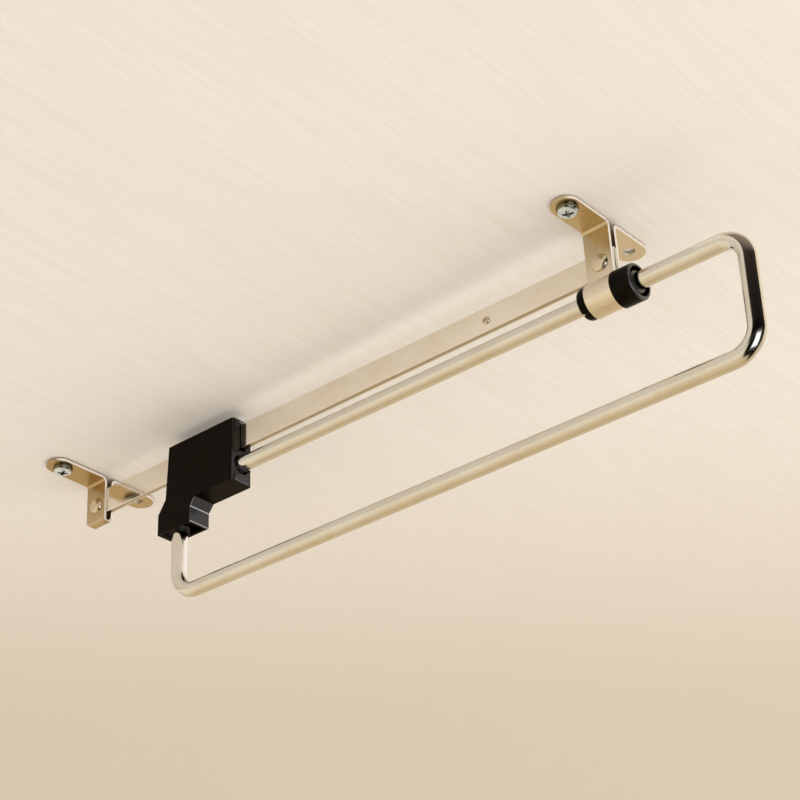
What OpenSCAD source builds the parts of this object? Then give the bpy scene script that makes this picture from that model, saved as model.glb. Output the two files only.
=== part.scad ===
// Pull-out clothes rail for the underside of a wardrobe shelf.
// A bent steel loop hangs in a moulded slider that runs along a folded steel rail,
// and its upper leg passes through a bush in the front bracket.
// +X is the pull-out direction, +Z is up and Z = 0 is the shelf's underside.
// The origin lies midway between the front bracket's two screw holes.

/* [Mounting] */
// Distance between the front and the rear screw holes
hole_pitch = 319; // [260:1:420]
// Distance between the two screw holes of the front bracket
front_span = 45; // [36:1:48]
// Distance between the two screw holes of the rear bracket
rear_span = 51; // [36:1:56]
// Diameter of the screw holes
hole_d = 5.6; // [3.5:0.1:7]
// Height of the shelf's underside above the loop's upper leg at the front bracket
front_drop = 35.5; // [30:0.1:50]
// Height of the shelf's underside above the loop's upper leg at the rear bracket
rear_drop = 28; // [27.5:0.1:50]

/* [Brackets] */
// Width of the bracket strip
strip_w = 13.4; // [10:0.1:20]
// Thickness of the bracket strip
strip_t = 1.5; // [1:0.1:2]
// Inner radius of the strip's bends
strip_bend_r = 1.6; // [0.8:0.1:3]
// Reach of the front bracket's flanges from the middle to their round tips
front_reach = 30.4; // [29:0.1:40]
// Reach of the rear bracket's flanges from the middle to their round tips
rear_reach = 34.5; // [33:0.1:40]
// Outer diameter of the front bracket's round eye
eye_d = 15.8; // [14:0.1:20]
// How far the rear bracket's folded foot reaches below the web's lower edges
foot_drop = 5.4; // [4.6:0.1:9]
// Radius of the foot's lower corners, seen from the side
foot_r = 3.6; // [1:0.1:6]

/* [Rail] */
// Thickness of the sheet that the rail is folded from
sheet_t = 1; // [0.6:0.1:1.2]
// Thickness of the rail's folded web over both layers
web_t = 3; // [2.4:0.1:3.6]
// Height of the web's folded top edge above the loop's upper leg
web_top = 22.4; // [18:0.1:23.6]
// Height of the web's lower edges over the front eye's bore
web_rise = 1.6; // [1.4:0.1:3]
// How far the web's ends stop short of the brackets' outer edges
web_inset = 0.5; // [0.5:0.1:2]

/* [Rivets] */
// Diameter of the bracket rivets' heads
rivet_head_d = 8; // [6:0.1:9]
// Height of the bracket rivets' domed heads
rivet_head_h = 1.9; // [1:0.1:2.5]
// Diameter of the bracket rivets' shanks
rivet_d = 4; // [3:0.1:5]
// Height of the front rivet above the loop's upper leg
front_rivet_z = 15.5; // [14:0.1:18]
// Height of the rear rivet above the loop's upper leg
rear_rivet_z = 13; // [12:0.1:18]
// Diameter of the stop rivet's heads
stop_head_d = 3.6; // [3:0.1:5]
// Height of the stop rivet's heads
stop_head_h = 1; // [0.7:0.1:1.4]
// Diameter of the stop rivet's shank
stop_d = 2; // [1.5:0.1:2.5]
// Height of the stop rivet above the loop's upper leg
stop_z = 14.8; // [12:0.1:18]
// How far the stop rivet stands behind the front screw holes
stop_back = 63.5; // [40:0.5:100]

/* [Loop] */
// Diameter of the round bar
bar_d = 8; // [7:0.1:8.4]
// Room left between the slider and the rear bracket when the loop is pushed home
rear_room = 4.1; // [1:0.1:40]
// Height of the loop between the centres of its level legs
loop_h = 55.3; // [50:0.1:90]
// Radius of the bar's bends at its centre line
bend_r = 12; // [10:0.5:16]
// How far the loop stands pulled out from its rearmost place
pulled_out = 39.1; // [0:0.1:180]

/* [Slider] */
// Length of the slider's block along its top
block_l = 45; // [36:0.1:60]
// Width of the slider
slider_w = 13.3; // [12.4:0.1:18]
// Height of the slider's top over the web's top edge
bridge_h = 1.5; // [1.2:0.1:3]
// Depth of the slider's block below the loop's upper leg
block_drop = 9.8; // [7:0.1:12]
// How far the block's rear top edge stands behind the upright leg's centre
block_back = 2.4; // [0.5:0.1:4]
// How far the block's rear face leans out on its way down
rear_draft = 1.6; // [0:0.1:4]
// Depth at which the block's rear face turns into the slant of the leg
slant_drop = 4.7; // [2:0.1:6]
// Depth of the leg below the loop's upper leg
leg_drop = 22.2; // [19:0.1:30]
// Length of the leg in front of the upright leg's centre
leg_front = 13.5; // [9:0.1:18]
// Length of the leg behind the upright leg's centre
leg_back = 9.7; // [7.6:0.1:12]
// Height of the leg's upright rear face
heel_h = 8.9; // [6:0.1:14]
// Radius of the leg's rear corners, seen from below
heel_r = 1.6; // [0.4:0.1:4]
// Length of the slant between the leg's front and the block's underside
shoulder_l = 3; // [0:0.1:8]
// Height of that slant
shoulder_h = 4.4; // [1:0.1:8]
// Radius of the block's front upright edges
edge_r = 1.8; // [0.4:0.1:2.2]
// Running clearance between the slider and the rail
run_gap = 0.35; // [0.3:0.05:0.6]
// How far the ends of the bar stay away from the slider's rear face and from each other
seat_wall = 3; // [2:0.1:6]
// Depth of the recess around the bar in the slider's front
recess_depth = 4; // [2:0.5:8]
// Radial width of the recess around the bar in the slider's front
recess_gap = 1.4; // [0.8:0.1:1.8]
// Wall left around the pocket under the leg
pocket_wall = 1.6; // [1.2:0.1:2]
// Depth of the pocket under the leg
pocket_depth = 3; // [1:0.1:5]

/* [Bush] */
// How far the bush's front cup stands out over the bracket's eye
cup_out = 0.6; // [0.2:0.1:4]
// Length of the bush's front cup
cup_l = 10.2; // [8:0.1:20]
// Thickness of the cup's rim
cup_rim = 1.5; // [1:0.1:2]
// Depth of the hollow in the cup
cup_depth = 6.5; // [4.2:0.1:7.5]
// Wall of the bearing ring inside the cup
ring_wall = 1.1; // [0.8:0.1:1.4]
// How far the bearing ring stops short of the cup's rim
ring_step = 0.8; // [0.5:0.1:4]
// Length of the snap lip behind the bracket's eye
lip_l = 4; // [2:0.1:5]
// How far the snap lip stands out over the eye's bore
lip_out = 1; // [0.4:0.1:1.2]
// Width of the slots that let the snap lip spring
lip_slot = 1.5; // [1:0.1:2.5]
// Number of those slots
lip_slots = 3; // [2:1:6]
// Radial running clearance between the bush and the bar
bush_gap = 0.06; // [0.03:0.01:0.09]

/* [Hidden] */
$fn = 64;

nickel = "#cdbfa8";
black = "#17171a";

// How far cutting shapes run past the faces that they cut
cut = 1;
// Gap at which pieces that must not bind stand apart
free_gap = 0.3;
// Gap of faces that meet without play
fit_gap = 0.03;
// Corner radius of moulded edges that are not meant to look round
small_r = 0.4;
// Wall of the boss around the bar in the pocket under the leg
boss_wall = 1.2;

// The rail falls towards the front when the two brackets differ in height
fall = atan((front_drop - rear_drop) / hole_pitch);
bar_r = bar_d / 2;

// Bracket places along the shelf, and the same places measured along the rail
front_x = 0;
rear_x = front_x - hole_pitch;
tip_r = strip_w / 2;
// Outer face of a bracket's upright wall
wall_y = web_t / 2 + strip_t;
eye_r = eye_d / 2;
bore_r = eye_r - strip_t;

// The web's outer faces and lower edges, and its ends, which reach through both brackets
web_y = web_t / 2;
web_low = bore_r + web_rise;
web_front = front_x + tip_r - web_inset;
web_rear = rear_x - tip_r + web_inset;

// The bush stands square to the rail, so it seats clear of the upright eye's edges.
// Its gap is rounded up to a hundredth, which keeps the places along the rail plain numbers.
cup_r = eye_r + cup_out;
seat_gap = ceil(100 * (cup_r * abs(tan(fall)) + fit_gap)) / 100;

// Bush, loop and slider places along the rail
cup_x = front_x + tip_r + seat_gap;
lip_front = front_x - tip_r - seat_gap;
lip_rear = lip_front - lip_l;
bush_face = cup_x + cup_l;
loop_home = bush_face + 2 * free_gap + bend_r;
loop_l = loop_home - (rear_x + tip_r + rear_room + leg_back);
loop_front = loop_home + pulled_out;
loop_rear = loop_front - loop_l;
block_rear = loop_rear - block_back;
block_front = block_rear + block_l;
block_top = web_top + bridge_h;
stop_x = front_x - stop_back;
// Ends of the bar inside the slider
bar_end_x = block_rear + seat_wall;
bar_end_z = -bar_r - seat_wall;

// Places things that follow the rail's own line
module on_rail() {
  translate([0, 0, -front_drop]) rotate([0, fall, 0]) children();
}

// Turns a profile drawn as (y, z) into a bar along X from one place to another
module along_x(from, to) {
  translate([from, 0, 0]) rotate([90, 0, 90]) linear_extrude(height = to - from) children();
}

// Turns an outline drawn as (x, z) into a plate of the given width about Y = 0
module across_y(width) {
  rotate([90, 0, 0]) linear_extrude(height = width, center = true) children();
}

// A round bar or bore along X
module round_x(from, to, r) {
  translate([from, 0, 0]) rotate([0, 90, 0]) cylinder(r = r, h = to - from);
}

// The rail's folded sheet as (y, z): two layers joined by a half ring along the top
module rail_section() {
  fold_z = web_top - web_y;
  for (side = [-1, 1])
    translate([side * (web_y - sheet_t / 2) - sheet_t / 2, web_low])
      square([sheet_t, fold_z - web_low]);
  translate([0, fold_z]) intersection() {
    difference() {
      circle(r = web_y);
      circle(r = web_y - sheet_t);
    }
    translate([-web_y, 0]) square([web_t, web_y]);
  }
}

module rail_profile() {
  color(nickel) on_rail() difference() {
    along_x(web_rear, web_front) rail_section();
    rivet_hole(front_x, front_rivet_z, rivet_d);
    rivet_hole(rear_x, rear_rivet_z, rivet_d);
    rivet_hole(stop_x, stop_z, stop_d);
  }
}

// Hole along Y through the web and both walls of a bracket
module rivet_hole(x, z, d) {
  translate([x, 0, z]) rotate([90, 0, 0])
    cylinder(d = d, h = 2 * (wall_y + cut), center = true);
}

// Half of a bracket's wall, bend and flange as (y, z) from the shelf down to wall_low
module bracket_half(wall_low, reach) {
  bend_o = strip_bend_r + strip_t;
  bend_y = wall_y + strip_bend_r;
  translate([wall_y - strip_t, wall_low]) square([strip_t, -bend_o - wall_low]);
  translate([bend_y, -strip_t]) square([reach - tip_r - bend_y, strip_t]);
  translate([bend_y, -bend_o]) intersection() {
    difference() {
      circle(r = bend_o);
      circle(r = strip_bend_r);
    }
    translate([-bend_o, 0]) square(bend_o);
  }
}

// The round tips of a bracket's two flanges
module flange_tips(x, reach) {
  for (side = [-1, 1])
    translate([x, side * (reach - tip_r), -strip_t]) cylinder(r = tip_r, h = strip_t);
}

module screw_holes(x, span) {
  for (side = [-1, 1])
    translate([x, side * span / 2, -strip_t - cut])
      cylinder(d = hole_d, h = strip_t + 2 * cut);
}

module front_bracket() {
  // The walls run into the eye's ring half a strip deep
  wall_low = -front_drop + sqrt(pow(eye_r, 2) - pow(wall_y, 2)) - strip_t / 2;
  color(nickel) difference() {
    union() {
      along_x(front_x - tip_r, front_x + tip_r) {
        for (side = [0, 1]) mirror([side, 0]) bracket_half(wall_low, front_reach);
        translate([0, -front_drop]) circle(r = eye_r);
      }
      flange_tips(front_x, front_reach);
    }
    screw_holes(front_x, front_span);
    on_rail() {
      round_x(front_x - strip_w, front_x + strip_w, bore_r);
      rivet_hole(front_x, front_rivet_z, rivet_d);
    }
    // The slit between the two walls that takes the rail's web
    translate([front_x - strip_w, -web_y, -front_drop])
      cube([2 * strip_w, web_t, front_drop]);
  }
}

module rear_bracket() {
  // Centre of the folded foot's half ring under the web
  foot_z = -rear_drop + web_low - foot_drop + wall_y;
  color(nickel) difference() {
    union() {
      along_x(rear_x - tip_r, rear_x + tip_r) {
        for (side = [0, 1]) mirror([side, 0]) bracket_half(foot_z, rear_reach);
        translate([0, foot_z]) intersection() {
          difference() {
            circle(r = wall_y);
            circle(r = web_y);
          }
          translate([-wall_y, -wall_y]) square([2 * wall_y, wall_y]);
        }
      }
      flange_tips(rear_x, rear_reach);
    }
    screw_holes(rear_x, rear_span);
    on_rail() rivet_hole(rear_x, rear_rivet_z, rivet_d);
    foot_corners(foot_z - wall_y);
  }
}

// Cuts that round the two lower corners of the rear bracket's foot
module foot_corners(low) {
  for (side = [0, 1])
    translate([rear_x, 0, low]) mirror([side, 0, 0])
      translate([tip_r - foot_r, 0, foot_r]) across_y(2 * (wall_y + cut)) difference() {
        translate([0, -2 * foot_r]) square(2 * foot_r);
        circle(r = foot_r);
      }
}

// A rivet through the web along Y: a shank and a shallow dome on both sides
module rivet(x, z, grip, d, head_d, head_h) {
  dome_r = (pow(head_d / 2, 2) + pow(head_h, 2)) / (2 * head_h);
  color(nickel) on_rail() translate([x, 0, z]) rotate([90, 0, 0]) rotate_extrude() {
    translate([0, -grip / 2]) square([d / 2, grip]);
    for (side = [0, 1]) mirror([0, side]) intersection() {
      translate([0, grip / 2 + head_h - dome_r]) circle(r = dome_r);
      translate([0, grip / 2]) square([head_d / 2, head_h]);
    }
  }
}

module front_rivet() {
  rivet(front_x, front_rivet_z, 2 * wall_y, rivet_d, rivet_head_d, rivet_head_h);
}

module rear_rivet() {
  rivet(rear_x, rear_rivet_z, 2 * wall_y, rivet_d, rivet_head_d, rivet_head_h);
}

module stop_rivet() {
  rivet(stop_x, stop_z, web_t, stop_d, stop_head_d, stop_head_h);
}

// The bush is one turned shape: snap lip, barrel in the eye, cup with a bearing ring
module front_bush() {
  run_r = bar_r + bush_gap;
  barrel_r = bore_r - fit_gap;
  lip_r = bore_r + lip_out;
  edge = 0.6;
  ring_r = run_r + ring_wall;
  ring_front = bush_face - ring_step;
  floor_x = bush_face - cup_depth;
  // The slots run on from the lip into the barrel, and one stands low on the right
  slot_run = 2;
  slot_l = lip_l + slot_run;
  slot_turn = 68;
  color(black) on_rail() difference() {
    rotate([0, 90, 0]) rotate_extrude() polygon([
      [run_r, lip_rear], [lip_r - edge, lip_rear], [lip_r, lip_rear + 2 * edge],
      [lip_r, lip_front], [barrel_r, lip_front], [barrel_r, cup_x],
      [cup_r - edge / 2, cup_x], [cup_r, cup_x + edge / 2],
      [cup_r, bush_face - edge], [cup_r - edge, bush_face],
      [cup_r - cup_rim, bush_face], [cup_r - cup_rim, floor_x],
      [ring_r, floor_x], [ring_r, ring_front], [run_r, ring_front]]);
    for (i = [0 : lip_slots - 1]) rotate([slot_turn + i * 360 / lip_slots, 0, 0])
      translate([lip_rear - cut, -lip_r - cut, -lip_slot / 2])
        cube([slot_l + cut, lip_r + cut, lip_slot]);
  }
}

// Side outline of the slider as (x, z): block, slants and leg
module slider_outline() {
  front = loop_rear + leg_front;
  back = loop_rear - leg_back;
  polygon([[block_rear, block_top], [block_front, block_top], [block_front, -block_drop],
           [front + shoulder_l, -block_drop], [front, -block_drop - shoulder_h],
           [front, -leg_drop], [back, -leg_drop], [back, -leg_drop + heel_h],
           [block_rear - rear_draft, -slant_drop]]);
}

// Plan outline with its own corner radius at the rear and at the front
module round_plan(from, to, width, rear_r, front_r, low, high) {
  translate([0, 0, low]) linear_extrude(height = high - low) {
    translate([from + rear_r, -width / 2])
      square([to - from - rear_r - front_r, width]);
    translate([from, rear_r - width / 2]) square([rear_r, width - 2 * rear_r]);
    translate([to - front_r, front_r - width / 2]) square([front_r, width - 2 * front_r]);
    for (side = [-1, 1]) {
      translate([from + rear_r, side * (width / 2 - rear_r)]) circle(r = rear_r);
      translate([to - front_r, side * (width / 2 - front_r)]) circle(r = front_r);
    }
  }
}

// Passage for the rail as (y, z): its outline grown by run_gap
module passage_section() {
  slot_y = web_y + run_gap;
  slot_low = web_low - run_gap;
  translate([-slot_y, slot_low]) square([2 * slot_y, web_top + run_gap - slot_low]);
}

module slider_body() {
  back = loop_rear - leg_back;
  front = loop_rear + leg_front + shoulder_l;
  color(black) on_rail() difference() {
    intersection() {
      across_y(slider_w) slider_outline();
      union() {
        round_plan(back, front, slider_w, heel_r, small_r, -leg_drop, -slant_drop);
        round_plan(loop_rear, block_front, slider_w, small_r, edge_r, -block_drop, block_top);
        round_plan(back, loop_rear + cut, slider_w, small_r, small_r, -slant_drop, block_top);
      }
    }
    along_x(back - cut, block_front + cut) passage_section();
    // Seats of the bar's two ends, and the recess in front of the upper one
    round_x(bar_end_x, block_front + cut, bar_r);
    round_x(block_front - recess_depth, block_front + cut, bar_r + recess_gap);
    upright(loop_rear, -leg_drop - cut, bar_end_z);
    leg_pocket();
  }
}

// Hollow under the leg around the boss that holds the bar's upright leg
module leg_pocket() {
  boss_r = bar_r + boss_wall;
  rear_r = max(small_r, heel_r - pocket_wall);
  difference() {
    round_plan(loop_rear - leg_back + pocket_wall, loop_rear + leg_front - pocket_wall,
               slider_w - 2 * pocket_wall, rear_r, small_r, -leg_drop - cut,
               -leg_drop + pocket_depth);
    upright(loop_rear, -leg_drop - 2 * cut, -leg_drop + pocket_depth + cut, boss_r);
  }
}

// Quarter bend of the bar from a centre, starting at the given turn about Y
module bend(x, z, turn) {
  translate([x, 0, z]) rotate([0, turn, 0]) rotate([90, 0, 0])
    rotate_extrude(angle = 90) translate([bend_r, 0]) circle(r = bar_r);
}

// A round upright of the bar's own size or of another radius
module upright(x, low, high, r = bar_r) {
  translate([x, 0, low]) cylinder(r = r, h = high - low);
}

module hanging_rail() {
  color(nickel) on_rail() {
    round_x(bar_end_x, loop_front - bend_r, bar_r);
    bend(loop_front - bend_r, -bend_r, 0);
    upright(loop_front, -loop_h + bend_r, -bend_r);
    bend(loop_front - bend_r, -loop_h + bend_r, 90);
    translate([0, 0, -loop_h]) round_x(loop_rear + bend_r, loop_front - bend_r, bar_r);
    bend(loop_rear + bend_r, -loop_h + bend_r, 180);
    upright(loop_rear, -loop_h + bend_r, bar_end_z);
  }
}

rail_profile();
front_bracket();
rear_bracket();
front_rivet();
rear_rivet();
stop_rivet();
front_bush();
slider_body();
hanging_rail();
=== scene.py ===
"""Looks of the pull-out clothes rail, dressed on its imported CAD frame. Lengths are in metres."""
import math

import bmesh
import bpy
from mathutils import Matrix, Vector


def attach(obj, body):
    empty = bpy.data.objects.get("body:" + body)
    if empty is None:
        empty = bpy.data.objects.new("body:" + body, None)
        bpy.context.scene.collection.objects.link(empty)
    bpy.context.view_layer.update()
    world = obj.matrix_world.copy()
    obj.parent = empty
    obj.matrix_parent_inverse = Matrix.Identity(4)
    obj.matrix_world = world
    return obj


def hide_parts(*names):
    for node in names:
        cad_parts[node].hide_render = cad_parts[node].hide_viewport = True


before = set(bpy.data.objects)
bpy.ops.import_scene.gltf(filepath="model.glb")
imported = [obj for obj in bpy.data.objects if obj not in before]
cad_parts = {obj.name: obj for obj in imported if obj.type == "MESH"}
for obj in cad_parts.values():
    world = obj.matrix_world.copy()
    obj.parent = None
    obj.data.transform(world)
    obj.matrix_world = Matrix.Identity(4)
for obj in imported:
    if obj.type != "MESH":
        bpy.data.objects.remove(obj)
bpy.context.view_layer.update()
MM, MICRON = 0.001, 0.000001

# Sizes that the looks share with the part's source, in millimetres
HOLE_PITCH = 319.0
FRONT_SPAN, REAR_SPAN = 45.0, 51.0
FRONT_DROP, REAR_DROP = 35.5, 28.0
STRIP_W, STRIP_T = 13.4, 1.5
WEB_T, SHEET_T, WEB_LOW = 3.0, 1.0, 8.0
WALL_Y = WEB_T / 2 + STRIP_T
BAR_R, BEND_R, LOOP_H = 4.0, 12.0, 55.3
REAR_ROOM, LEG_BACK, PULLED_OUT = 4.1, 9.7, 39.1
SEAT_GAP, CUP_L, BUSH_ROOM = 0.23, 10.2, 0.6
SEAT_WALL, BLOCK_BACK = 3.0, 2.4
FRONT_RIVET_Z, REAR_RIVET_Z, STOP_Z, STOP_BACK = 15.5, 13.0, 14.8, 63.5
FALL = math.atan((FRONT_DROP - REAR_DROP) / HOLE_PITCH)

# The rail's own axes run along the falling bar; this takes its millimetres to the world's metres
RAIL_TO_WORLD = Matrix.Scale(MM, 4) @ Matrix.Translation((0, 0, -FRONT_DROP)) @ Matrix.Rotation(
    FALL, 4, "Y")


# ---------------------------------------------------------------- camera
CAMERA_PLACE = Vector((0.395854, -0.624, -0.516737))
CAMERA_RIGHT = Vector((0.75357, 0.65559, -0.04833))
CAMERA_UP = Vector((0.36702, -0.3586, 0.85831))
CAMERA_AHEAD = Vector((-0.54538, 0.66453, 0.51084))
SENSOR_WIDTH, LENS = 36.0, 93.06


def photo_camera():
    """The photograph's viewpoint: below the shelf, in front of the rail and to its right."""
    data = bpy.data.cameras.new("photo_camera")
    data.sensor_width, data.lens = SENSOR_WIDTH, LENS
    data.clip_start, data.clip_end = 0.01, 20.0
    data.dof.use_dof = False
    camera = bpy.data.objects.new("photo_camera", data)
    camera.matrix_world = Matrix.Translation(CAMERA_PLACE) @ Matrix(
        (CAMERA_RIGHT, CAMERA_UP, -CAMERA_AHEAD)).transposed().to_4x4()
    bpy.context.scene.collection.objects.link(camera)
    bpy.context.scene.camera = camera


photo_camera()


# ---------------------------------------------------------------- shader maths
class Wire:
    """A shader socket that Python's operators work on."""

    def __init__(self, shop, socket):
        self.shop, self.socket = shop, socket

    def _sum(self, operation, *others):
        return self.shop.node("ShaderNodeMath", {"operation": operation},
                              dict(enumerate((self, *others))))

    def __add__(self, other):
        return self._sum("ADD", other)

    def __radd__(self, other):
        return self._sum("ADD", other)

    def __sub__(self, other):
        return self._sum("SUBTRACT", other)

    def __rsub__(self, other):
        return self.shop.node("ShaderNodeMath", {"operation": "SUBTRACT"}, {0: other, 1: self})

    def __mul__(self, other):
        return self._sum("MULTIPLY", other)

    def __truediv__(self, other):
        return self._sum("DIVIDE", other)

    def __rmul__(self, other):
        return self._sum("MULTIPLY", other)

    def __lt__(self, other):
        return self._sum("LESS_THAN", other)

    def most(self, other):
        return self._sum("MAXIMUM", other)

    def size(self):
        return self._sum("ABSOLUTE")

    def ramp(self, low, high, start=0.0, end=1.0):
        """The value carried smoothly from start to end as it goes from low to high."""
        return self.shop.node("ShaderNodeMapRange", {"interpolation_type": "SMOOTHSTEP"}, {
            "Value": self, "From Min": low, "From Max": high, "To Min": start, "To Max": end})


class Shop:
    """One node tree, and the ways of adding to it."""

    def __init__(self, tree):
        self.tree = tree
        tree.nodes.clear()

    def node(self, kind, settings=None, values=None, out=0):
        """Adds a node: its settings first, then its sockets' values or links."""
        made = self.tree.nodes.new(kind)
        for key, value in (settings or {}).items():
            if key == "stops":
                self.set_stops(made.color_ramp.elements, value)
            else:
                setattr(made, key, value)
        for key, value in (values or {}).items():
            if isinstance(value, Wire):
                self.tree.links.new(value.socket, made.inputs[key])
            else:
                made.inputs[key].default_value = value
        return Wire(self, made.outputs[out]) if len(made.outputs) else None

    @staticmethod
    def set_stops(elements, stops):
        while len(elements) < len(stops):
            elements.new(1.0)
        for element, (place, colour) in zip(elements, stops):
            element.position, element.color = place, (*colour, 1)

    def place(self, scale=(1, 1, 1), move=(0, 0, 0), turn=(0, 0, 0)):
        """The object's own coordinates in millimetres, moved, turned and stretched."""
        at = self.node("ShaderNodeTexCoord", out="Object")
        return self.node("ShaderNodeMapping", None, {
            "Vector": at, "Location": move, "Rotation": turn,
            "Scale": tuple(1000 * s for s in scale)})

    def axis(self, place, which):
        return self.node("ShaderNodeSeparateXYZ", None, {0: place}, out="XYZ".index(which))

    def attribute(self, name, out):
        return self.node("ShaderNodeAttribute", {"attribute_name": name}, out=out)

    def join(self, x, y, z):
        return self.node("ShaderNodeCombineXYZ", None, {0: x, 1: y, 2: z})

    def noise(self, place, scale, detail=3.0, rough=0.5, bend=0.0):
        return self.node("ShaderNodeTexNoise", None, {
            "Vector": place, "Scale": scale, "Detail": detail, "Roughness": rough,
            "Distortion": bend})

    def mix(self, share, one, two):
        """Two colours mixed by a share."""
        return self.node("ShaderNodeMix", {"data_type": "RGBA"}, {
            0: share, 6: one if isinstance(one, Wire) else (*one, 1),
            7: two if isinstance(two, Wire) else (*two, 1)}, out=2)

    def bump(self, height, depth, strength=1.0, under=None):
        values = {"Height": height, "Distance": depth, "Strength": strength}
        if under:
            values["Normal"] = under
        return self.node("ShaderNodeBump", None, values)

    def ray(self, kind):
        return self.node("ShaderNodeLightPath", out=kind)

    def finish(self, shader):
        self.node("ShaderNodeOutputMaterial", None, {"Surface": shader})


def material(name):
    """A new material and the shop for its nodes."""
    made = bpy.data.materials.new(name)
    made.use_nodes = True
    return made, Shop(made.node_tree)


# ---------------------------------------------------------------- finishes of the pieces
# painted shade for faces that point downwards
UNDERSIDE_SHADE_TONE = (0.33, 0.27, 0.16)
# dull cut edges painted pale: a painted highlight where they face the front
CUT_EDGE_HIGHLIGHT_TONE = (0.97, 0.91, 0.86)
# painted highlight on the bar's front-facing side
BAR_FRONT_HIGHLIGHT_TONE = (0.97, 0.94, 0.91)
# painted highlight on the plastic's rounded front edges
EDGE_HIGHLIGHT_TONE = (0.50, 0.50, 0.52)
# painted light on the lower front faces of the plastic
LIT_FRONT_TONE = (0.036, 0.037, 0.041)


def nickel_plate(name, colour, rough, stretch=None, relief=0.6, painted_under_shade=0.0, shade=None,
                 lit_cut_edges=False):
    """Bright nickel: cloudy plating, drawing marks, rubs and pin marks.

    The marks follow the stretch, or the bar's own path where there is none. Painted shade can
    darken the undersides, the strip can have painted shade on its upper near side and dull cut
    edges painted pale as a highlight where they face the front, and the bar has a painted
    highlight on its front.
    """
    made, shop = material(name)
    at = shop.place()
    if stretch:
        marks_at = shop.place(scale=stretch)
    else:
        across = shop.attribute("across", "Vector")
        marks_at = shop.join(shop.axis(across, "X") / MM, shop.axis(across, "Y") / MM,
                             shop.attribute("along", "Fac") * 40)
    clouds = shop.noise(at, 0.03, 2.0)
    drawn = shop.noise(marks_at, 2.2, 4.0, 0.65)
    rubs = shop.noise(marks_at, 0.45, 2.0).ramp(0.55, 0.70)
    pins = shop.noise(at, 1.9, 1.0).ramp(0.71, 0.78)
    tarnish = shop.noise(at, 0.16, 3.0).ramp(0.48, 0.70)
    deep = tuple(c * f for c, f in zip(colour, (0.93, 0.90, 0.85)))
    bright = tuple(min(1, c * 1.08) for c in colour)
    tone = shop.mix(clouds.ramp(0.35, 0.65) * 0.55 + tarnish * 0.35, colour, deep)
    tone = shop.mix(drawn.ramp(0.62, 0.75) * 0.35, tone, bright)
    facing = shop.node("ShaderNodeTexCoord", out="Normal")
    # Painted shade: faces that point downwards are darkened towards the underside shade tone
    if painted_under_shade:
        under = shop.axis(facing, "Z").ramp(-0.6, -0.9) * painted_under_shade
        tone = shop.mix(under, tone, UNDERSIDE_SHADE_TONE)
    # Painted shade: the strip's upper near side darkens towards the shade colour
    if shade:
        near_top_shade = shop.axis(at, "Z").ramp(-27, -12) * shop.axis(at, "Y").ramp(3, -3)
        tone = shop.mix(near_top_shade, tone, shade)
    metallic = 1.0
    # Dull cut edges with a painted highlight: faces that point to the front are painted pale and
    # made less metallic
    if lit_cut_edges:
        lit_bare_edge = shop.axis(facing, "X").ramp(0.45, 0.85)
        tone = shop.mix(lit_bare_edge, tone, CUT_EDGE_HIGHLIGHT_TONE)
        metallic = 1 - lit_bare_edge * 0.55
    # Painted highlight: on the bar, faces that point to the front are painted near white
    if not stretch:
        tone = shop.mix(shop.axis(facing, "X").ramp(0.78, 0.94), tone, BAR_FRONT_HIGHLIGHT_TONE)
    marks = shop.bump(drawn + pins * -0.7, 2.2 * MICRON, relief)
    waves = shop.bump(shop.noise(at, 0.10, 1.0), 40 * MICRON, 0.35, marks)
    shop.finish(shop.node("ShaderNodeBsdfPrincipled", None, {
        "Base Color": tone, "Metallic": metallic, "Normal": waves,
        "Roughness": clouds * 0.03 + drawn * 0.05 + rubs * 0.05 + pins * 0.06 + (rough - 0.04)}))
    return made


def zinc_plate(name):
    """Bluish bright zinc of the screws, with a fine grain and dull spots, and painted shade on the
    head's sides and in the cross recess.
    """
    made, shop = material(name)
    at = shop.place()
    clouds = shop.noise(at, 0.5, 3.0)
    grain = shop.noise(at, 5.0, 2.0)
    tone = shop.mix(clouds.ramp(0.3, 0.7), (0.83, 0.91, 0.95), (0.64, 0.70, 0.76))
    grime = shop.noise(at, 1.3, 3.0).ramp(0.55, 0.72)
    tone = shop.mix(grime * 0.4, tone, (0.30, 0.29, 0.27))
    # Painted shade: faces that don't point straight down, the head's sides and the recess walls,
    # are painted dark olive
    facing = shop.axis(shop.node("ShaderNodeTexCoord", out="Normal"), "Z")
    tone = shop.mix(facing.ramp(-0.85, -0.45), tone, (0.20, 0.185, 0.13))
    shop.finish(shop.node("ShaderNodeBsdfPrincipled", None, {
        "Base Color": tone, "Metallic": facing.ramp(-0.97, -0.80, 0.45, 1.0),
        "Roughness": clouds * 0.10 + grain * 0.08 + grime * 0.12 + 0.07,
        "Normal": shop.bump(grain, 12 * MICRON, 0.5)}))
    return made


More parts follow.
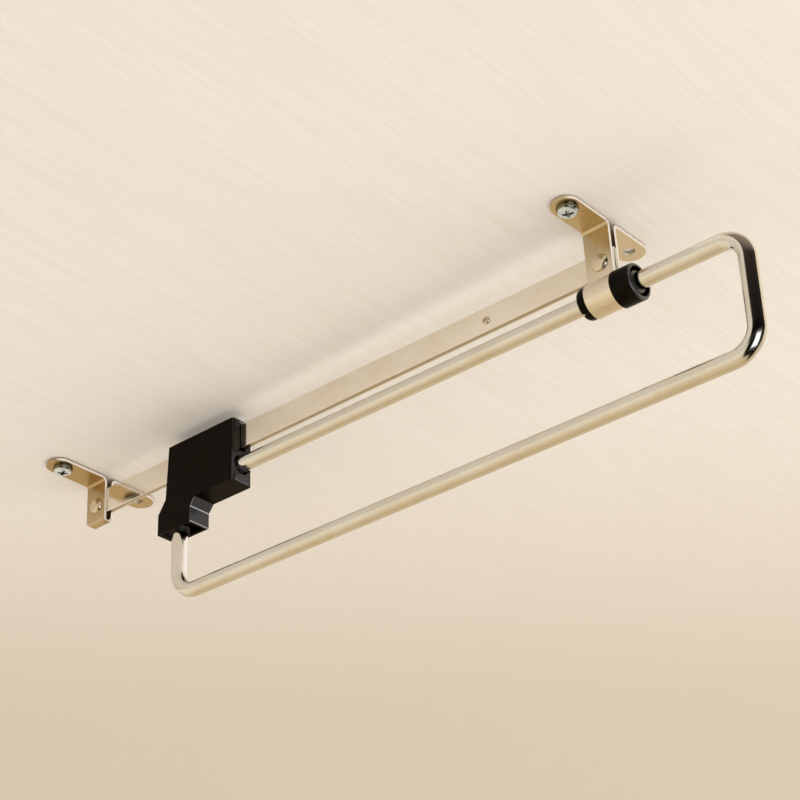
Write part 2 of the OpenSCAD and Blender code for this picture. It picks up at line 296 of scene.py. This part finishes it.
def black_plastic(name, colour, scuff, rough, grain_depth, polished):
    """Moulded black plastic: fine grain, flow clouds, polished ends, painted light on the lower
    front faces of the leg and painted highlights on its front edges."""
    made, shop = material(name)
    at = shop.place()
    grain = shop.noise(at, 3.0, 3.0, 0.6)
    flow = shop.noise(shop.place(scale=(0.35, 1, 1)), 0.11, 3.0, 0.55, 0.4)
    rubs = shop.noise(shop.place(scale=(0.25, 1, 1), move=(5, 9, 2)), 0.35, 3.0).ramp(0.58, 0.74)
    facing = shop.node("ShaderNodeTexCoord", out="Normal")
    ends = shop.axis(facing, "X").ramp(0.3, 0.7)
    # Painted light: faces that point to the front, below the block, are painted grey as if lit
    lit_front = ends * shop.axis(at, "Z").ramp(-22, -29) * (0.8 + grain * 0.3)
    # Painted highlight: rounded edges that face front, down and to the near side are painted pale
    # grey
    edge_highlight = (shop.attribute("edge", "Fac") * shop.axis(facing, "X").ramp(0.1, 0.3)
           * shop.axis(facing, "Z").ramp(0.0, -0.2) * shop.axis(facing, "Y").ramp(-0.5, -0.2))
    tone = shop.mix(rubs * 0.5 + flow.ramp(0.4, 0.7) * 0.4, colour, scuff)
    tone = shop.mix(lit_front, tone, LIT_FRONT_TONE)
    tone = shop.mix(edge_highlight * (grain * 0.5 + 0.5), tone, EDGE_HIGHLIGHT_TONE)
    shop.finish(shop.node("ShaderNodeBsdfPrincipled", None, {
        "Base Color": tone, "Specular IOR Level": 0.05, "Specular Tint": (1.0, 0.65, 0.3, 1),
        "Roughness": flow * 0.10 + rubs * -0.05 + grain * 0.06 + (rough - 0.08),
        "Coat Weight": ends * polished + flow * 0.04, "Coat Roughness": 0.14,
        "Normal": shop.bump(grain, grain_depth, 0.5)}))
    return made


rail_nickel = nickel_plate("rail_nickel", (0.90, 0.85, 0.765), 0.12, (0.05, 1, 1),
                           painted_under_shade=0.4)
bar_nickel = nickel_plate("bar_nickel", (0.73, 0.705, 0.647), 0.12)
bracket_nickel = nickel_plate("bracket_nickel", (0.75, 0.685, 0.56), 0.25, (1, 0.06, 0.06),
                              relief=0.12, shade=(0.61, 0.505, 0.325), lit_cut_edges=True)
# The rear bracket's darker, browner copy of the bracket nickel is painted shade.
rear_nickel = nickel_plate("rear_nickel", (0.55, 0.45, 0.29), 0.25, (1, 0.06, 0.06),
                           relief=0.12, shade=(0.49, 0.365, 0.20), lit_cut_edges=True)
rivet_nickel = nickel_plate("rivet_nickel", (0.70, 0.61, 0.47), 0.21, (1, 1, 1), relief=0.3)
screw_zinc = zinc_plate("screw_zinc")
slider_black = black_plastic("slider_black", (0.0020, 0.0011, 0.0004), (0.0060, 0.0040, 0.0022),
                             rough=0.42, grain_depth=20 * MICRON, polished=0.55)
bush_black = black_plastic("bush_black", (0.0026, 0.0024, 0.0018), (0.008, 0.007, 0.006),
                           rough=0.30, grain_depth=8 * MICRON, polished=1.0)


# ---------------------------------------------------------------- pieces from the CAD's solids
def finished(made, mesh, finish, body, nodes):
    """Dresses a finished mesh: material, body and the CAD nodes it stands for."""
    mesh.materials.clear()
    mesh.materials.append(finish)
    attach(made, body)
    if nodes:
        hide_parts(*nodes)


def add_object(name, mesh):
    """A new object in the scene, at the origin, unturned and unscaled."""
    made = bpy.data.objects.new(name, mesh)
    bpy.context.scene.collection.objects.link(made)
    return made


def settle(made):
    """Turns an object's evaluated shape into its plain mesh and drops its modifiers."""
    bpy.context.view_layer.update()
    graph = bpy.context.evaluated_depsgraph_get()
    mesh = bpy.data.meshes.new_from_object(made.evaluated_get(graph), preserve_all_data_layers=True,
                                           depsgraph=graph)
    made.modifiers.clear()
    made.data = mesh
    mesh.name = made.name
    return mesh


PRESSED_SHARE, FRONT_RISE, NEAR = 0.5, 1.45, 0.05
FLAT_ANGLE, SHARP_ANGLE, CREASE_ANGLE = (math.radians(d) for d in (0.6, 19, 42))


def pressed_fold(form):
    """The rail's sheets pressed closer together, and their lower edges rising to the front."""
    to_rail = RAIL_TO_WORLD.inverted()
    for vert in form.verts:
        place = to_rail @ vert.co
        if abs(place.y) < WEB_T / 2 - SHEET_T + NEAR:
            place.y *= PRESSED_SHARE
        if place.z < WEB_LOW + NEAR:
            place.z += FRONT_RISE * max(0.0, 1 + place.x / HOLE_PITCH)
        vert.co = RAIL_TO_WORLD @ place


def rounded_copy(node, name, width, shortest):
    """A copy of a CAD solid, merged and with its sharp edges over a length rounded off.

    The roundings are marked as edge. Where short edges are left sharp, none clamps the others.
    """
    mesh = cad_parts[node].data.copy()
    form = bmesh.new()
    form.from_mesh(mesh)
    bmesh.ops.remove_doubles(form, verts=form.verts, dist=2 * MICRON)
    bmesh.ops.dissolve_limit(form, angle_limit=FLAT_ANGLE, verts=form.verts,
                             edges=form.edges)
    if node == "rail_profile":
        pressed_fold(form)
    sharp = [e for e in form.edges
             if len(e.link_faces) == 2 and e.calc_face_angle(0) > SHARP_ANGLE
             and e.calc_length() > shortest * MM]
    mark = form.faces.layers.float.new("edge")
    for face in form.faces:
        face[mark] = 0.0
        face.smooth = True
    made = bmesh.ops.bevel(form, geom=sharp, offset=width * MM, offset_type="OFFSET", segments=3,
                           profile=0.5, affect="EDGES", clamp_overlap=shortest == 0)
    for face in made["faces"]:
        face[mark] = 1.0
        face.smooth = True
    bmesh.ops.remove_doubles(form, verts=form.verts, dist=MICRON)
    form.to_mesh(mesh)
    form.free()
    mesh.set_sharp_from_angle(angle=CREASE_ANGLE)
    piece = add_object(name, mesh)
    level = piece.modifiers.new("level", "WEIGHTED_NORMAL")
    level.keep_sharp, level.weight = True, 60
    return piece, settle(piece)


for node, name, width, shortest, finish, body, slot in (
        ("rail_profile", "folded_rail", 0.20, 3, rail_nickel, "rail", "nickel"),
        ("front_bracket", "front_strip_bracket", 0.22, 0, bracket_nickel, "rail", "nickel"),
        ("rear_bracket", "rear_strip_bracket", 0.22, 0.1, rear_nickel, "rail", "nickel"),
        ("front_bush", "moulded_bush", 0.22, 0, bush_black, "rail", "bush_plastic"),
        ("slider_body", "moulded_slider", 0.40, 2.5, slider_black, "slider", "slider_plastic")):
    piece, shell = rounded_copy(node, name, width, shortest)
    finished(piece, shell, finish, body, [node])


# ---------------------------------------------------------------- pieces grown by geometry nodes
class Grower:
    """A geometry node tree with named inputs, put on an object and settled into a mesh."""

    def __init__(self, name):
        self.tree = bpy.data.node_groups.new(name, "GeometryNodeTree")
        self.tree.interface.new_socket("Geometry", in_out="INPUT", socket_type="NodeSocketGeometry")
        self.tree.interface.new_socket("Geometry", in_out="OUTPUT",
                                       socket_type="NodeSocketGeometry")
        self.values = {}
        self.start = self.tree.nodes.new("NodeGroupInput")

    def give(self, name, kind, value):
        """Adds a named input with its value, and says which socket it comes out of."""
        made = self.tree.interface.new_socket(name, in_out="INPUT", socket_type=kind)
        self.values[made.identifier] = value
        return self.start.outputs[made.identifier]

    def node(self, kind, settings=None, values=None, out=0):
        """Adds a node: its settings first, then its sockets' values or links."""
        made = self.tree.nodes.new(kind)
        for key, value in (settings or {}).items():
            setattr(made, key, value)
        for key, value in (values or {}).items():
            if isinstance(value, bpy.types.NodeSocket):
                self.tree.links.new(value, made.inputs[key])
            else:
                made.inputs[key].default_value = value
        return made.outputs[out]

    def grow(self, made, shape, finish):
        """Ends the tree in a material and runs it on the object."""
        shape = self.node("GeometryNodeRealizeInstances", None, {0: shape})
        shape = self.node("GeometryNodeSetMaterial", None, {
            "Geometry": shape, "Material": self.give("Finish", "NodeSocketMaterial", finish)})
        end = self.tree.nodes.new("NodeGroupOutput")
        self.tree.links.new(shape, end.inputs[0])
        grown = made.modifiers.new("grown", "NODES")
        grown.node_group = self.tree
        for identifier, value in self.values.items():
            grown[identifier] = value
        return settle(made)


def points_object(name, points, to_world, edges=()):
    """An object of bare points, or of a path through them, for a node tree to grow on."""
    mesh = bpy.data.meshes.new(name)
    mesh.from_pydata([to_world @ Vector(p) for p in points], edges, [])
    return add_object(name, mesh)


def bar_loop():
    """The round bar: a path through its corners, filleted, and a circle swept along it."""
    rear = -HOLE_PITCH + STRIP_W / 2 + REAR_ROOM + LEG_BACK + PULLED_OUT
    front = STRIP_W / 2 + SEAT_GAP + CUP_L + BUSH_ROOM + BEND_R + PULLED_OUT
    corners = [(rear - BLOCK_BACK + SEAT_WALL, 0, 0), (front, 0, 0), (front, 0, -LOOP_H),
               (rear, 0, -LOOP_H), (rear, 0, -BAR_R - SEAT_WALL)]
    made = points_object("bar_loop", corners, RAIL_TO_WORLD,
                         [(i, i + 1) for i in range(len(corners) - 1)])
    tree = Grower("bar_along_its_path")
    radius = tree.give("Bar radius", "NodeSocketFloat", BAR_R * MM)
    bend = tree.give("Bend radius", "NodeSocketFloat", BEND_R * MM)
    steps = tree.give("Bend steps", "NodeSocketInt", 28)
    around = tree.give("Steps around", "NodeSocketInt", 72)
    path = tree.node("GeometryNodeMeshToCurve", None, {"Mesh": tree.start.outputs[0]})
    path = tree.node("GeometryNodeFilletCurve", {"mode": "POLY"}, {
        "Curve": path, "Radius": bend, "Count": steps, "Limit Radius": True})
    path = tree.node("GeometryNodeStoreNamedAttribute", {"data_type": "FLOAT", "domain": "POINT"}, {
        "Geometry": path, "Name": "along",
        "Value": tree.node("GeometryNodeSplineParameter", out="Length")})
    ring = tree.node("GeometryNodeCurvePrimitiveCircle", None, {
        "Resolution": around, "Radius": radius})
    ring = tree.node("GeometryNodeStoreNamedAttribute",
                     {"data_type": "FLOAT_VECTOR", "domain": "POINT"}, {
                         "Geometry": ring, "Name": "across",
                         "Value": tree.node("GeometryNodeInputPosition")})
    shape = tree.node("GeometryNodeCurveToMesh", None, {
        "Curve": path, "Profile Curve": ring, "Fill Caps": True})
    mesh = tree.grow(made, shape, bar_nickel)
    for face in mesh.polygons:
        face.use_smooth = len(face.vertices) == 4
    finished(made, mesh, bar_nickel, "slider", ["hanging_rail"])


bar_loop()


def turned(profile, steps):
    """A closed solid turned about Z from (radius, height) points, from the axis to the axis."""
    form = bmesh.new()
    rings = []
    for radius, height in profile:
        if radius == 0:
            rings.append([form.verts.new((0, 0, height))])
        else:
            rings.append([form.verts.new((radius * math.cos(2 * math.pi * i / steps),
                                          radius * math.sin(2 * math.pi * i / steps), height))
                          for i in range(steps)])
    for low, high in zip(rings, rings[1:]):
        for i in range(steps):
            j = (i + 1) % steps
            if len(low) == 1:
                form.faces.new((low[0], high[j], high[i]))
            elif len(high) == 1:
                form.faces.new((low[i], low[j], high[0]))
            else:
                form.faces.new((low[i], low[j], high[j], high[i]))
    bmesh.ops.recalc_face_normals(form, faces=form.faces)
    for face in form.faces:
        face.smooth = True
    return form


def template(name, form):
    """A shape that a node tree places; it is taken away again afterwards."""
    mesh = bpy.data.meshes.new(name)
    form.to_mesh(mesh)
    form.free()
    mesh.set_sharp_from_angle(angle=math.radians(48))
    return add_object(name, mesh)


def scatter(name, shape, seats, finish, nodes):
    """Copies of one shape on seats of place, turn and scale, as one piece on the rail."""
    made = points_object(name, [place for place, _, _ in seats], Matrix.Identity(4))
    for key, rows in (("turn", [turn for _, turn, _ in seats]),
                      ("stretch", [size for _, _, size in seats])):
        layer = made.data.attributes.new(key, "FLOAT_VECTOR", "POINT")
        for i, row in enumerate(rows):
            layer.data[i].vector = row
    tree = Grower(name + "_on_their_seats")
    source = tree.give("Shape", "NodeSocketObject", shape)
    body = tree.node("GeometryNodeObjectInfo", None, {"Object": source}, out="Geometry")
    turn, size = (tree.node("GeometryNodeInputNamedAttribute", {"data_type": "FLOAT_VECTOR"},
                            {"Name": key}) for key in ("turn", "stretch"))
    placed = tree.node("GeometryNodeInstanceOnPoints", None, {
        "Points": tree.node("GeometryNodeMeshToPoints", None, {0: tree.start.outputs[0]}),
        "Instance": body, "Rotation": turn, "Scale": size})
    mesh = tree.grow(made, placed, finish)
    finished(made, mesh, finish, "rail", nodes)
    old = shape.data
    bpy.data.objects.remove(shape)
    bpy.data.meshes.remove(old)


def rivet_dome():
    """A rivet's head, one millimetre in radius and in height, with a lip and a flat crown."""
    rows = [(0, -0.15), (0.93, -0.15), (1.0, 0.0), (0.995, 0.10), (0.96, 0.20)]
    rows += [(0.96 * math.cos(a), 0.20 + 0.80 * math.sin(a))
             for a in (math.radians(d) for d in range(8, 90, 6))]
    return turned([(r * MM, h * MM) for r, h in rows + [(0, 1.0)]], 48)


def rivet_seats(*rivets):
    """Heads on both sides of rivets of place along, place up, half grip, radius and height."""
    return [(RAIL_TO_WORLD @ Vector((x, side * grip, z)), (math.radians(-90 * side), 0, 0),
             (radius, radius, height))
            for x, z, grip, radius, height in rivets for side in (-1, 1)]


def rivet_ring():
    """The stop rivet's rolled head with the hollow in its middle."""
    rows = [(0, -0.15), (0.95, -0.15), (1.0, 0.0), (0.99, 0.3), (0.93, 0.62), (0.82, 0.85),
            (0.70, 0.95), (0.58, 0.93), (0.48, 0.78), (0.42, 0.50), (0.38, 0.12), (0.34, 0.0)]
    return turned([(r * MM, h * MM) for r, h in rows + [(0, 0.0)]], 40)


scatter("rivets", template("rivet_dome", rivet_dome()),
        rivet_seats((0, FRONT_RIVET_Z, WALL_Y, 4.3, 1.9),
                    (-HOLE_PITCH, REAR_RIVET_Z, WALL_Y, 4.1, 1.9)),
        rivet_nickel, ["front_rivet", "rear_rivet"])
scatter("stop_rivet_heads", template("rivet_ring", rivet_ring()),
        rivet_seats((-STOP_BACK, STOP_Z, WEB_T / 2, 2.1, 1.0)),
        rivet_nickel, ["stop_rivet"])


CROWN_H, CROWN_R, CROWN_RINGS = 3.0, 3.6, 30
THREAD_TURNS, THREAD_PITCH = 5, 1.6
RECESS_R, RECESS_DEPTH = 2.75, 1.9


def recess_share(x, y):
    """How far the cross recess is sunk at a place on the head, from 0 outside to 1 inside."""
    share = 0.0
    for u, v in ((x, y), (y, x)):
        width = 0.62 + 0.10 * (2.7 - abs(u))
        across = max(0.0, min(1.0, (width - abs(v)) / 0.22))
        along = max(0.0, min(1.0, (RECESS_R - abs(u)) / 1.5))
        share = max(share, across * along)
    return share


def screw_form():
    """A domed pan head with a cross recess and a short threaded shank, head up."""
    rows = [(0, CROWN_H)]
    for i in range(1, CROWN_RINGS + 1):
        r = CROWN_R * i / CROWN_RINGS
        rows.append((r, CROWN_H - 0.042 * r * r))
    rows += [(4.1, 2.22), (4.45, 1.95), (4.68, 1.65), (4.80, 1.3), (4.9, 0.8), (4.98, 0.3),
             (5.0, 0.12), (4.9, 0.0), (2.1, 0.0)]
    for i in range(THREAD_TURNS):
        z = -1.0 - i * THREAD_PITCH
        rows += [(1.45, z + 0.1), (1.5, z - 0.35), (2.0, z - 0.62), (2.0, z - 0.72),
                 (1.5, z - 1.0)]
    rows += [(1.3, -9.0), (0, -9.4)]
    form = turned([(r * MM, h * MM) for r, h in rows], 120)
    for vert in form.verts:
        x, y, z = (c / MM for c in vert.co)
        if z > 2.3 and math.hypot(x, y) < 3.3:
            vert.co.z -= RECESS_DEPTH * recess_share(x, y) * MM
    return form


def screw_seats():
    """The two screws in the near holes, head down against the flanges, as place, turn, size."""
    return [(Vector((x, -span / 2, -STRIP_T)) * MM, (math.pi, 0, math.radians(spin)), (1, 1, 1))
            for x, span, spin in ((0, FRONT_SPAN, 24), (-HOLE_PITCH, REAR_SPAN, 58))]


scatter("mounting_screws", template("screw", screw_form()), screw_seats(), screw_zinc, [])


# ---------------------------------------------------------------- stage and light
SHELF_EDGE = 30.0
SHELF_Z, FLOOR_Z = 0.0006, -1.7
RAIL_MIDDLE = (-0.12, 0, -0.04)

# Tones of the world: plain light, background, and what mirrors see in each direction
PLAIN_LIGHT, BACKGROUND = (1.0, 0.98, 0.96), (0.86, 0.84, 0.78)
WALL_TONES = [(0.0, (0.80, 0.656, 0.40)), (0.125, (0.85, 0.69, 0.47)),
              (0.25, (1.0, 0.86, 0.64)), (0.35, (1.0, 0.89, 0.71)), (0.5, (1.0, 0.91, 0.76))]
FAR_SIDE_TONE, FAR_SIDE_SHARE = (0.62, 0.46, 0.25), 0.57
ROOM_TONE, ROOM_TOP_TONE = (0.005, 0.004, 0.0035), (0.30, 0.24, 0.18)
PANE_LIGHT, PANE_SOFTNESS = (1.6, 1.62, 1.65), 0.06
PANE_SIDES = (((0.364, 0.931, 0.0), 0.40), ((0.374, -0.146, 0.916), 0.32))


def shelf_finish():
    """A pale board seen only from below, with painted shade towards its far back corner; mirrors
    see it end at the shelf's front edge.
    """
    made, shop = material("pale_board")
    at = shop.place()
    fibre = shop.noise(shop.place(scale=(1, 0.035, 1)), 0.55, 4.0, 0.6)
    broad = shop.noise(shop.place(scale=(1, 0.4, 1)), 0.012, 2.0)
    tone = shop.mix(fibre.ramp(0.3, 0.7) * 0.7 + broad * 0.3, (0.875, 0.815, 0.73),
                    (0.93, 0.877, 0.803))
    # Painted shade: the board darkens towards its far back corner
    away = (shop.axis(at, "Y") - shop.axis(at, "X")).ramp(100, 800)
    tone = shop.mix(away, tone, (0.755, 0.665, 0.55))
    lit_side = shop.axis(at, "Y").ramp(20, 90) * shop.ray("Is Glossy Ray")
    tone = shop.mix(lit_side, tone, (1.0, 0.985, 0.96))
    board = shop.node("ShaderNodeBsdfDiffuse", None, {"Color": tone})
    below = 1 - shop.node("ShaderNodeNewGeometry", out="Backfacing")
    behind_edge = shop.axis(at, "X") < SHELF_EDGE
    share = below * behind_edge.most(shop.ray("Is Camera Ray"))
    clear = shop.node("ShaderNodeBsdfTransparent")
    shop.finish(shop.node("ShaderNodeMixShader", None, {0: share, 1: clear, 2: board}))
    return made


def floor_finish():
    """A plain pale floor; mirrors look through it to the room's own tones."""
    made, shop = material("pale_floor")
    clouds = shop.noise(shop.place(), 0.004, 2.0)
    tone = shop.mix(clouds, (0.82, 0.79, 0.74), (0.85, 0.825, 0.775))
    board = shop.node("ShaderNodeBsdfDiffuse", None, {"Color": tone})
    above = 1 - shop.node("ShaderNodeNewGeometry", out="Backfacing")
    clear = shop.node("ShaderNodeBsdfTransparent")
    shop.finish(shop.node("ShaderNodeMixShader", None, {
        0: above * (1 - shop.ray("Is Glossy Ray")), 1: clear, 2: board}))
    return made


def board(name, low, high, z, finish, face_down):
    """A flat rectangle of stage at height z."""
    corners = [(low[0], low[1], z), (high[0], low[1], z), (high[0], high[1], z),
               (low[0], high[1], z)]
    if face_down:
        corners.reverse()
    mesh = bpy.data.meshes.new(name)
    mesh.from_pydata(corners, [], [(0, 1, 2, 3)])
    mesh.materials.append(finish)
    add_object(name, mesh)


board("pale_board", (-2.2, -1.6), (0.6, 2.2), SHELF_Z, shelf_finish(), True)
board("pale_floor", (-3.0, -3.0), (3.0, 3.0), FLOOR_Z, floor_finish(), False)


def soft_lamp(name, towards, distance, size, radiance, colour):
    """A round lamp that faces the rail's middle from a direction, and that mirrors don't show."""
    data = bpy.data.lights.new(name, "AREA")
    data.shape, data.size, data.color = "DISK", size, colour
    data.energy = radiance * math.pi ** 2 * size ** 2 / 4
    lamp = bpy.data.objects.new(name, data)
    away = Vector(towards).normalized()
    lamp.location = Vector(RAIL_MIDDLE) + away * distance
    lamp.rotation_euler = away.to_track_quat("Z", "Y").to_euler()
    lamp.visible_glossy = False
    bpy.context.scene.collection.objects.link(lamp)


soft_lamp("key", (0.50, 0.30, -0.80), 1.55, 1.3, 0.85, (1.0, 0.97, 0.93))
soft_lamp("window", (0.74, 0.67, -0.09), 2.5, 1.05, 4.5, (0.97, 0.98, 1.0))


def studio_world():
    """Even light all round. Mirrors see pale walls, a duller far side, a dark room beyond the
    shelf's edge, above and below, and one bright pane in it."""
    world = bpy.data.worlds.new("studio")
    bpy.context.scene.world = world
    world.use_nodes = True
    world.cycles.sampling_method = "NONE"
    shop = Shop(world.node_tree)
    towards = shop.node("ShaderNodeTexCoord", out="Generated")
    x, y, z = (shop.axis(towards, c) for c in "XYZ")
    walls = shop.node("ShaderNodeValToRGB", {"stops": WALL_TONES}, {0: z * 0.5 + 0.5})
    far_side = shop.mix(y.ramp(-0.3, 0.3) * FAR_SIDE_SHARE, walls, FAR_SIDE_TONE)
    over = x.ramp(-0.34, -0.14) * (x - y).ramp(-0.06, 0.10) * z.ramp(-0.02, 0.06)
    low_turn = (x - y) + z.ramp(-0.9, -0.5, 0.55, 0.0)
    under = x.ramp(0.03, 0.18) * low_turn.ramp(0.0, 0.14) * z.ramp(-0.97, -0.92)
    under = under * z.ramp(0.0, 0.08, 1.0, 0.0)
    dark = shop.mix(z.ramp(0.45, 0.95), ROOM_TONE, ROOM_TOP_TONE)
    mirrored = shop.mix(over.most(under), far_side, dark)
    pane = x.ramp(0.1, 0.2)
    for side, reach in PANE_SIDES:
        offset = shop.node("ShaderNodeVectorMath", {"operation": "DOT_PRODUCT"},
                           {0: towards, 1: side}, out="Value")
        pane = pane * offset.size().ramp(reach - PANE_SOFTNESS, reach + PANE_SOFTNESS, 1.0, 0.0)
    mirrored = shop.mix(pane, mirrored, PANE_LIGHT)
    tone = shop.mix(shop.ray("Is Glossy Ray"), PLAIN_LIGHT, mirrored)
    tone = shop.mix(shop.ray("Is Camera Ray"), tone, BACKGROUND)
    shop.node("ShaderNodeOutputWorld", None, {
        "Surface": shop.node("ShaderNodeBackground", None, {"Color": tone, "Strength": 1.0})})


studio_world()
bpy.context.scene.view_settings.view_transform = "Standard"
